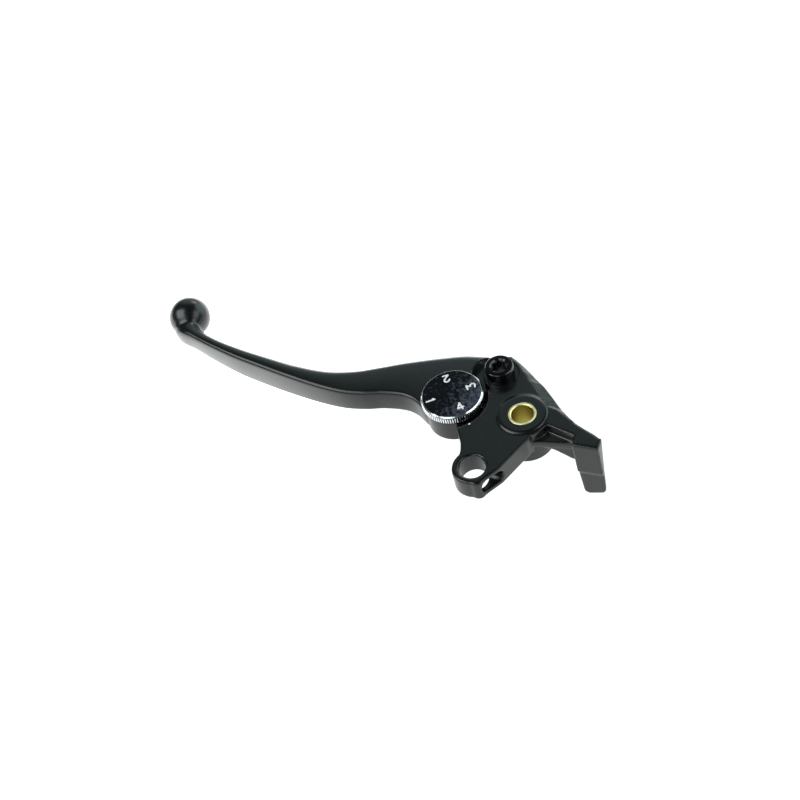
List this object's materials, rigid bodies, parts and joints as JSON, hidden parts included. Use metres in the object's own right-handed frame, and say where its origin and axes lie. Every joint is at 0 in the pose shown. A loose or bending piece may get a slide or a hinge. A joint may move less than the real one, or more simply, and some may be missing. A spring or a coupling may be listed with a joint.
{
  "type": "motorcycle clutch lever",
  "caption": "Black cast motorcycle clutch lever with a ball end, hinged on a short knuckle with a brass pivot bush, a pushrod lobe, a switch tab and a knurled reach dial.",
  "frame": {"origin": "on the main pivot's axis, at mid length of the brass bush", "axes": "+Z along the main pivot towards the dial side, -X outboard along the blade, +Y forward, away from the handlebar grip"},
  "size_m": [0.2171, 0.0651, 0.0377],
  "materials": {
    "cast_black": "satin black coating on cast aluminium",
    "brass": "machined",
    "bronze": "sintered",
    "black_oxide": "glossy black oxide on steel",
    "plated_steel": "zinc plated",
    "spring_steel": "oiled",
    "chrome": "polished",
    "dial_black": "gloss",
    "print_white": "printed"
  },
  "bodies": {
    "knuckle": {"knuckle": "cast_black", "pivot_bush": "brass", "pivot_screw": "black_oxide", "pivot_washer": "plated_steel", "pivot_nut": "plated_steel", "return_spring": "spring_steel", "index_mark": "print_white"},
    "blade": {"lever_blade": "cast_black", "blade_bush": "bronze", "detent_spring": "spring_steel"},
    "dial": {"dial_knob": "chrome", "dial_face": "dial_black", "dial_numerals": "print_white", "cam_shaft": "plated_steel", "dial_screw": "plated_steel", "cam_washer": "spring_steel", "cam_clip": "spring_steel"},
    "detent_ball": {"detent_ball": "chrome"}
  },
  "joints": [
    {"name": "blade_swing", "type": "hinge", "parent": "knuckle", "child": "blade", "pos_m": [-0.018, 0.0158, 0.002], "axis": [0, 0, 1], "range_deg": [-14, 0], "stiffness_Nm_per_rad": 0.15, "springref_deg": 45.84, "deforming": ["return_spring"]},
    {"name": "dial_turn", "type": "hinge", "parent": "blade", "child": "dial", "pos_m": [-0.0302, -0.0032, 0.008], "axis": [0, 0, 1], "continuous": true},
    {"name": "detent_ball_lift", "type": "slide", "parent": "blade", "child": "detent_ball", "axis": [0, 0, 1], "range_m": [0, 0.0005], "stiffness_N_per_m": 500, "springref_m": 0.0025, "deforming": ["detent_spring"]}
  ]
}
